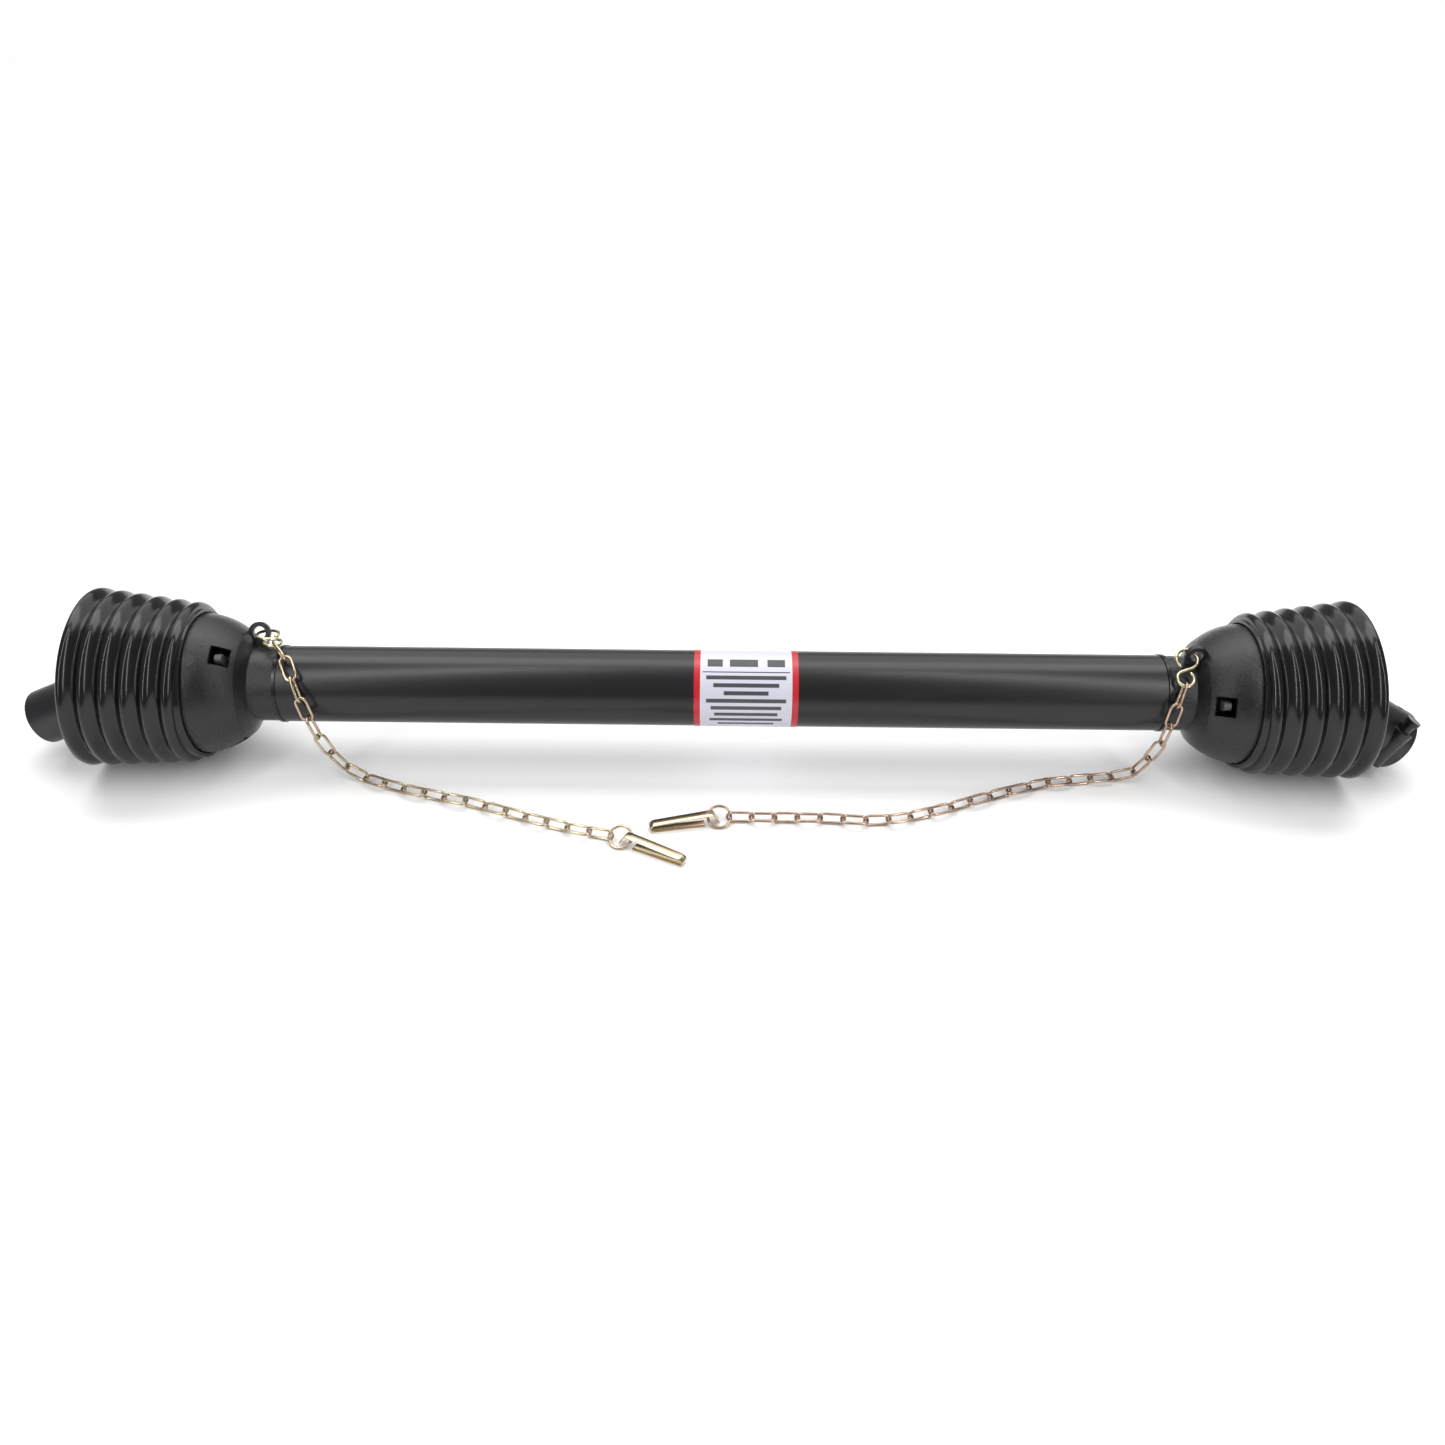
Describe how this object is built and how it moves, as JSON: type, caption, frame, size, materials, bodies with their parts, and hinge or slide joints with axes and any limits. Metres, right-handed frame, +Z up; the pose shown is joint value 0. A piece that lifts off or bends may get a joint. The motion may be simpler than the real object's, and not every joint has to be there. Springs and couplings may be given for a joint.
{
  "type": "pto drive shaft",
  "caption": "Telescoping PTO drive shaft with cross joints, a black guard of two bowls, ribbed bellows and tube, and two safety chains.",
  "frame": {"origin": "on the floor under the middle of the footprint, safety chains included", "axes": "+X along the shaft from the implement end to the tractor end, +Z up from the floor"},
  "size_m": [1.2203, 0.2286, 0.1545],
  "materials": {
    "cone_plastic": "fine pebbled sheen",
    "bellows_plastic": "satin, flexible",
    "tube_plastic": "satin, extruded",
    "bearing_nylon": "satin",
    "seal_rubber": "dull",
    "bright_steel": "turned",
    "spring_steel": "oiled",
    "profile_steel": "drawn, greased",
    "yoke_paint": "semi-gloss over forging",
    "chain_zinc": "yellow zinc plate",
    "rose_zinc": "yellow zinc plate, rosy",
    "clip_zinc": "yellow zinc plate",
    "label_film": "smooth film"
  },
  "bodies": {
    "outer_drive": {"outer_profile_tube": "profile_steel", "implement_inner_yoke": "yoke_paint", "implement_yoke_pin": "spring_steel", "implement_inner_caps": "bright_steel", "implement_inner_rings": "spring_steel"},
    "inner_drive": {"inner_profile_tube": "profile_steel", "tractor_inner_yoke": "yoke_paint", "tractor_yoke_pin": "spring_steel", "tractor_inner_caps": "bright_steel", "tractor_inner_rings": "spring_steel"},
    "outer_guard": {"implement_guard_cone": "cone_plastic", "implement_bellows": "bellows_plastic", "outer_guard_tube": "tube_plastic", "implement_retaining_ring": "cone_plastic", "implement_shield_bearing": "bearing_nylon", "guard_label": "label_film"},
    "inner_guard": {"tractor_guard_cone": "cone_plastic", "tractor_bellows": "bellows_plastic", "inner_guard_tube": "tube_plastic", "tractor_retaining_ring": "cone_plastic", "tractor_shield_bearing": "bearing_nylon"},
    "implement_cross_body": {"implement_cross": "bright_steel", "implement_cross_seals": "seal_rubber", "implement_grease_nipple": "bright_steel"},
    "implement_end": {"implement_end_yoke": "yoke_paint", "implement_outer_caps": "bright_steel", "implement_outer_rings": "spring_steel"},
    "implement_s_hook_body": {"implement_s_hook": "chain_zinc"},
    "implement_chain_drape_body": {"implement_chain_drape": "chain_zinc"},
    "implement_chain_run_body": {"implement_chain_run": "chain_zinc"},
    "implement_chain_tail_body": {"implement_chain_tail": "chain_zinc"},
    "implement_chain_ring_body": {"implement_chain_ring": "chain_zinc"},
    "implement_chain_clip_body": {"implement_chain_clip": "clip_zinc"},
    "tractor_cross_body": {"tractor_cross": "bright_steel", "tractor_cross_seals": "seal_rubber", "tractor_grease_nipple": "bright_steel"},
    "tractor_end": {"tractor_end_yoke": "yoke_paint", "tractor_outer_caps": "bright_steel", "tractor_outer_rings": "spring_steel"},
    "tractor_s_hook_body": {"tractor_s_hook": "rose_zinc"},
    "tractor_chain_drape_body": {"tractor_chain_drape": "rose_zinc"},
    "tractor_chain_run_body": {"tractor_chain_run": "rose_zinc"},
    "tractor_chain_tail_body": {"tractor_chain_tail": "rose_zinc"},
    "tractor_chain_ring_body": {"tractor_chain_ring": "rose_zinc"},
    "tractor_chain_clip_body": {"tractor_chain_clip": "clip_zinc"},
    "push_pin_body": {"tractor_push_pin": "bright_steel"}
  },
  "joints": [
    {"name": "outer_guard_turn", "type": "hinge", "parent": "outer_drive", "child": "outer_guard", "pos_m": [0, 0.0395, 0.07182], "axis": [1, 0, 0], "continuous": true},
    {"name": "telescope", "type": "slide", "parent": "outer_drive", "child": "inner_drive", "axis": [1, 0, 0], "range_m": [0, 0.52]},
    {"name": "inner_guard_turn", "type": "hinge", "parent": "inner_drive", "child": "inner_guard", "pos_m": [0, 0.0395, 0.07182], "axis": [1, 0, 0], "continuous": true},
    {"name": "implement_cross_tilt", "type": "hinge", "parent": "outer_drive", "child": "implement_cross_body", "pos_m": [-0.514, 0.0395, 0.07182], "axis": [0, -1, 0], "range_deg": [-56, 8]},
    {"name": "implement_yoke_swing", "type": "hinge", "parent": "implement_cross_body", "child": "implement_end", "pos_m": [-0.514, 0.0395, 0.07182], "axis": [-0.4067, 0, 0.9135], "range_deg": [-22, 22]},
    {"name": "implement_hook_lift", "type": "hinge", "parent": "outer_guard", "child": "implement_s_hook_body", "pos_m": [-0.402, 0.0615, 0.10992], "axis": [-1, 0, 0], "range_deg": [0, 40]},
    {"name": "implement_drape_lift", "type": "hinge", "parent": "implement_s_hook_body", "child": "implement_chain_drape_body", "pos_m": [-0.38194, 0.03732, 0.11332], "axis": [-1, 0, 0], "range_deg": [0, 30]},
    {"name": "implement_run_sweep", "type": "hinge", "parent": "implement_chain_drape_body", "child": "implement_chain_run_body", "pos_m": [-0.32573, -0.00325, 0.01307], "axis": [0, 0, -1], "range_deg": [0, 20]},
    {"name": "implement_tail_sweep", "type": "hinge", "parent": "implement_chain_run_body", "child": "implement_chain_tail_body", "pos_m": [-0.2176, -0.03855, 0.00615], "axis": [0, 0, -1], "range_deg": [0, 20]},
    {"name": "implement_ring_lift", "type": "hinge", "parent": "implement_chain_tail_body", "child": "implement_chain_ring_body", "pos_m": [-0.09174, -0.08002, 0.00615], "axis": [-0.2302, -0.9731, 0], "range_deg": [0, 40]},
    {"name": "implement_clip_swing", "type": "hinge", "parent": "implement_chain_ring_body", "child": "implement_chain_clip_body", "pos_m": [-0.0823, -0.08226, 0.00615], "axis": [0, 0, 1], "range_deg": [-8, 8]},
    {"name": "tractor_cross_tilt", "type": "hinge", "parent": "inner_drive", "child": "tractor_cross_body", "pos_m": [0.514, 0.0395, 0.07182], "axis": [0, 1, 0], "range_deg": [-61.5, 2.5]},
    {"name": "tractor_yoke_swing", "type": "hinge", "parent": "tractor_cross_body", "child": "tractor_end", "pos_m": [0.514, 0.0395, 0.07182], "axis": [0.4924, 0, 0.8704], "range_deg": [-22, 22]},
    {"name": "tractor_hook_lift", "type": "hinge", "parent": "inner_guard", "child": "tractor_s_hook_body", "pos_m": [0.402, 0.03338, 0.11539], "axis": [-1, 0, 0], "range_deg": [0, 40]},
    {"name": "tractor_drape_lift", "type": "hinge", "parent": "tractor_s_hook_body", "child": "tractor_chain_drape_body", "pos_m": [0.38971, 0.01027, 0.10095], "axis": [-1, 0, 0], "range_deg": [0, 30]},
    {"name": "tractor_run_sweep", "type": "hinge", "parent": "tractor_chain_drape_body", "child": "tractor_chain_run_body", "pos_m": [0.32348, 0.00096, 0.00615], "axis": [0, 0, -1], "range_deg": [0, 15]},
    {"name": "tractor_tail_sweep", "type": "hinge", "parent": "tractor_chain_run_body", "child": "tractor_chain_tail_body", "pos_m": [0.17802, -0.04633, 0.00615], "axis": [0, 0, -1], "range_deg": [0, 15]},
    {"name": "tractor_ring_lift", "type": "hinge", "parent": "tractor_chain_tail_body", "child": "tractor_chain_ring_body", "pos_m": [0.00862, -0.0555, 0.00615], "axis": [0, 1, 0], "range_deg": [0, 40]},
    {"name": "tractor_clip_swing", "type": "hinge", "parent": "tractor_chain_ring_body", "child": "tractor_chain_clip_body", "pos_m": [-0.00108, -0.0555, 0.00615], "axis": [0, 0, 1], "range_deg": [-8, 8]},
    {"name": "push_pin_press", "type": "slide", "parent": "tractor_end", "child": "push_pin_body", "axis": [-0.4924, 0, -0.8704], "range_m": [0, 0.008], "stiffness_N_per_m": 800}
  ]
}
